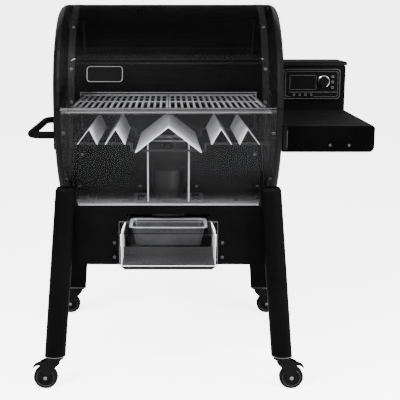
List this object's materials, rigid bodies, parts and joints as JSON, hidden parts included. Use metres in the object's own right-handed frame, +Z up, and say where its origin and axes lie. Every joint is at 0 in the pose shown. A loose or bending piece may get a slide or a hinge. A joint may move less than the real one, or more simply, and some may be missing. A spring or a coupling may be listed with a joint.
{
  "type": "pellet smoker grill",
  "caption": "Barrel-shaped pellet smoker grill on a four-leg cart with casters, rear pellet hopper, side shelf, control panel, end handle and pull-out ash drawer.",
  "frame": {"origin": "on the floor, under the middle of the whole grill's plan", "axes": "+Z up, -Y towards the person who opens the lid, +X towards the side shelf"},
  "size_m": [1.0924, 0.8386, 1.19],
  "materials": {
    "black_enamel": "satin black enamel",
    "smoked_enamel": "satin black enamel, drawn see-through so that the inside shows",
    "black_powder_coat": "matt black powder coat",
    "grey_sheet_steel": "plain sheet steel",
    "stainless_bars": "satin stainless",
    "dark_steel": "dark zinc",
    "aluminium_foil_tray": "pressed foil",
    "black_plastic": "fine texture",
    "screen_glass": "dark display window",
    "chrome": "bright",
    "black_rubber": "matt"
  },
  "bodies": {
    "cart": {"cookbox_front": "smoked_enamel", "fire_column_front": "smoked_enamel", "cookbox_back": "black_enamel", "cookbox_cap_left": "black_enamel", "cookbox_cap_right": "black_enamel", "grate_frame": "grey_sheet_steel", "fire_column": "grey_sheet_steel", "auger_tube": "grey_sheet_steel", "grate_left": "stainless_bars", "grate_right": "stainless_bars", "drip_bar_1": "stainless_bars", "drip_bar_2": "stainless_bars", "drip_bar_3": "stainless_bars", "drip_bar_4": "stainless_bars", "heat_baffle": "stainless_bars", "lid_hinge_pin": "dark_steel", "burn_pot": "dark_steel", "auger_motor": "dark_steel", "blower": "dark_steel", "hopper_guard": "dark_steel", "hopper_body": "black_powder_coat", "side_table": "black_powder_coat", "cart_handle": "black_powder_coat", "front_panel": "black_powder_coat", "rear_panel": "black_powder_coat", "side_panel_left": "black_powder_coat", "side_panel_right": "black_powder_coat", "control_housing": "black_plastic", "display": "screen_glass", "probe_ports": "chrome", "leg_front_left": "black_powder_coat", "leg_front_right": "black_powder_coat", "leg_rear_left": "black_powder_coat", "leg_rear_right": "black_powder_coat"},
    "lid": {"lid_front": "smoked_enamel", "lid_back": "black_enamel", "lid_cap_left": "black_enamel", "lid_cap_right": "black_enamel", "lid_handle": "smoked_enamel", "badge": "grey_sheet_steel", "warming_rack": "stainless_bars"},
    "hopper_cover": {"hopper_lid": "black_enamel"},
    "drawer": {"drawer_body": "grey_sheet_steel", "drawer_front": "smoked_enamel", "drip_pan": "aluminium_foil_tray"},
    "control_knob": {"knob": "chrome"},
    "control_button_1": {"button_1": "black_plastic"},
    "control_button_2": {"button_2": "black_plastic"},
    "control_button_3": {"button_3": "black_plastic"},
    "auger": {"auger_screw": "dark_steel"},
    "caster_front_left": {"fork_front_left": "dark_steel"},
    "roller_front_left": {"wheel_front_left": "black_rubber"},
    "foot_brake_left": {"brake_front_left": "dark_steel"},
    "caster_front_right": {"fork_front_right": "dark_steel"},
    "roller_front_right": {"wheel_front_right": "black_rubber"},
    "foot_brake_right": {"brake_front_right": "dark_steel"},
    "caster_rear_left": {"fork_rear_left": "dark_steel"},
    "roller_rear_left": {"wheel_rear_left": "black_rubber"},
    "caster_rear_right": {"fork_rear_right": "dark_steel"},
    "roller_rear_right": {"wheel_rear_right": "black_rubber"}
  },
  "joints": [
    {"name": "lid_hinge", "type": "hinge", "parent": "cart", "child": "lid", "pos_m": [-0.10575, 0.20725, 1.005], "axis": [-1, 0, 0], "range_deg": [0, 70]},
    {"name": "hopper_cover_hinge", "type": "hinge", "parent": "cart", "child": "hopper_cover", "pos_m": [0.17425, 0.40825, 0.9835], "axis": [-1, 0, 0], "range_deg": [0, 72]},
    {"name": "drawer_slide", "type": "slide", "parent": "cart", "child": "drawer", "axis": [0, -1, 0], "range_m": [0, 0.3]},
    {"name": "knob_turn", "type": "hinge", "parent": "cart", "child": "control_knob", "pos_m": [0.45875, 0.21075, 0.921], "axis": [0, 1, 0], "continuous": true},
    {"name": "button_1_push", "type": "slide", "parent": "cart", "child": "control_button_1", "axis": [0, 1, 0], "range_m": [0, 0.0015], "stiffness_N_per_m": 100},
    {"name": "button_2_push", "type": "slide", "parent": "cart", "child": "control_button_2", "axis": [0, 1, 0], "range_m": [0, 0.0015], "stiffness_N_per_m": 100},
    {"name": "button_3_push", "type": "slide", "parent": "cart", "child": "control_button_3", "axis": [0, 1, 0], "range_m": [0, 0.0015], "stiffness_N_per_m": 100},
    {"name": "auger_turn", "type": "hinge", "parent": "cart", "child": "auger", "pos_m": [-0.10575, 0.16394, 0.67235], "axis": [0, 0.9599, -0.2803], "continuous": true},
    {"name": "swivel_front_left", "type": "hinge", "parent": "cart", "child": "caster_front_left", "pos_m": [-0.46375, -0.39225, 0.09], "axis": [0, 0, 1], "continuous": true},
    {"name": "roll_front_left", "type": "hinge", "parent": "caster_front_left", "child": "roller_front_left", "pos_m": [-0.49375, -0.39225, 0.038], "axis": [0, 1, 0], "continuous": true},
    {"name": "brake_left_press", "type": "hinge", "parent": "caster_front_left", "child": "foot_brake_left", "pos_m": [-0.50475, -0.39225, 0.0825], "axis": [0, -1, 0], "range_deg": [0, 12]},
    {"name": "swivel_front_right", "type": "hinge", "parent": "cart", "child": "caster_front_right", "pos_m": [0.25225, -0.39225, 0.09], "axis": [0, 0, 1], "continuous": true},
    {"name": "roll_front_right", "type": "hinge", "parent": "caster_front_right", "child": "roller_front_right", "pos_m": [0.28225, -0.39225, 0.038], "axis": [0, 1, 0], "continuous": true},
    {"name": "brake_right_press", "type": "hinge", "parent": "caster_front_right", "child": "foot_brake_right", "pos_m": [0.29325, -0.39225, 0.0825], "axis": [0, 1, 0], "range_deg": [0, 12]},
    {"name": "swivel_rear_left", "type": "hinge", "parent": "cart", "child": "caster_rear_left", "pos_m": [-0.46375, 0.32075, 0.09], "axis": [0, 0, 1], "continuous": true},
    {"name": "roll_rear_left", "type": "hinge", "parent": "caster_rear_left", "child": "roller_rear_left", "pos_m": [-0.49375, 0.32075, 0.038], "axis": [0, 1, 0], "continuous": true},
    {"name": "swivel_rear_right", "type": "hinge", "parent": "cart", "child": "caster_rear_right", "pos_m": [0.25225, 0.32075, 0.09], "axis": [0, 0, 1], "continuous": true},
    {"name": "roll_rear_right", "type": "hinge", "parent": "caster_rear_right", "child": "roller_rear_right", "pos_m": [0.28225, 0.32075, 0.038], "axis": [0, 1, 0], "continuous": true}
  ]
}
